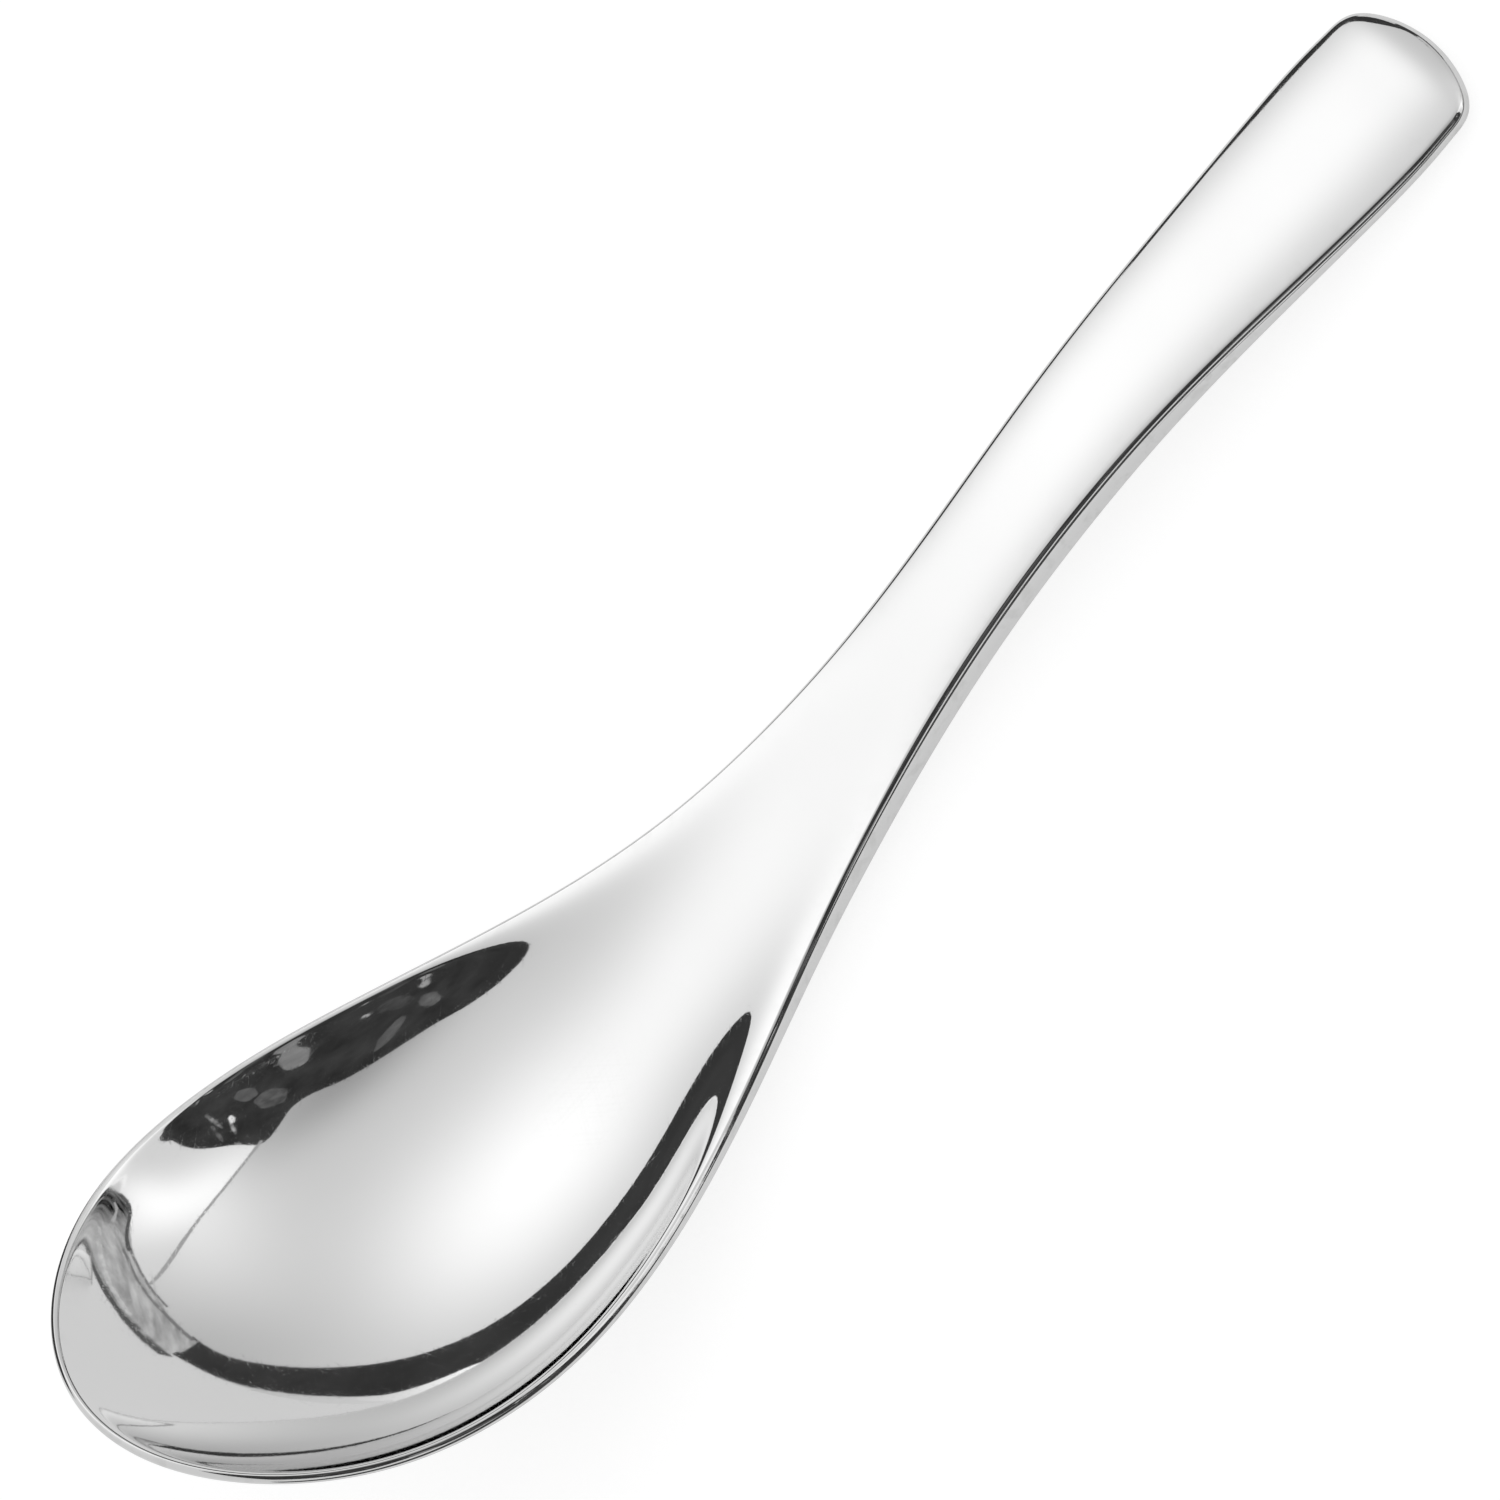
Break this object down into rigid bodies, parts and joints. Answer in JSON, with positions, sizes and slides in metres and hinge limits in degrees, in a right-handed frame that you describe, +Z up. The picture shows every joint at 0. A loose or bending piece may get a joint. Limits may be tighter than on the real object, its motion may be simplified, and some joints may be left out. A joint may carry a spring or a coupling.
{
  "type": "soup spoon",
  "caption": "Soup spoon in mirror-polished stainless steel, with a deep egg-shaped bowl and a thick, gently curved handle, made in one piece.",
  "frame": {"origin": "at table height, below the middle of the spoon's box, with the spoon lying on a table", "axes": "+X from the bowl's tip towards the end of the handle, +Z up from the table, +Y across the bowl"},
  "size_m": [0.1616, 0.0468, 0.0302],
  "materials": {
    "steel": "mirror-polished stainless steel with fine polishing marks"
  },
  "bodies": {
    "root": {"spoon": "steel"}
  },
  "joints": []
}
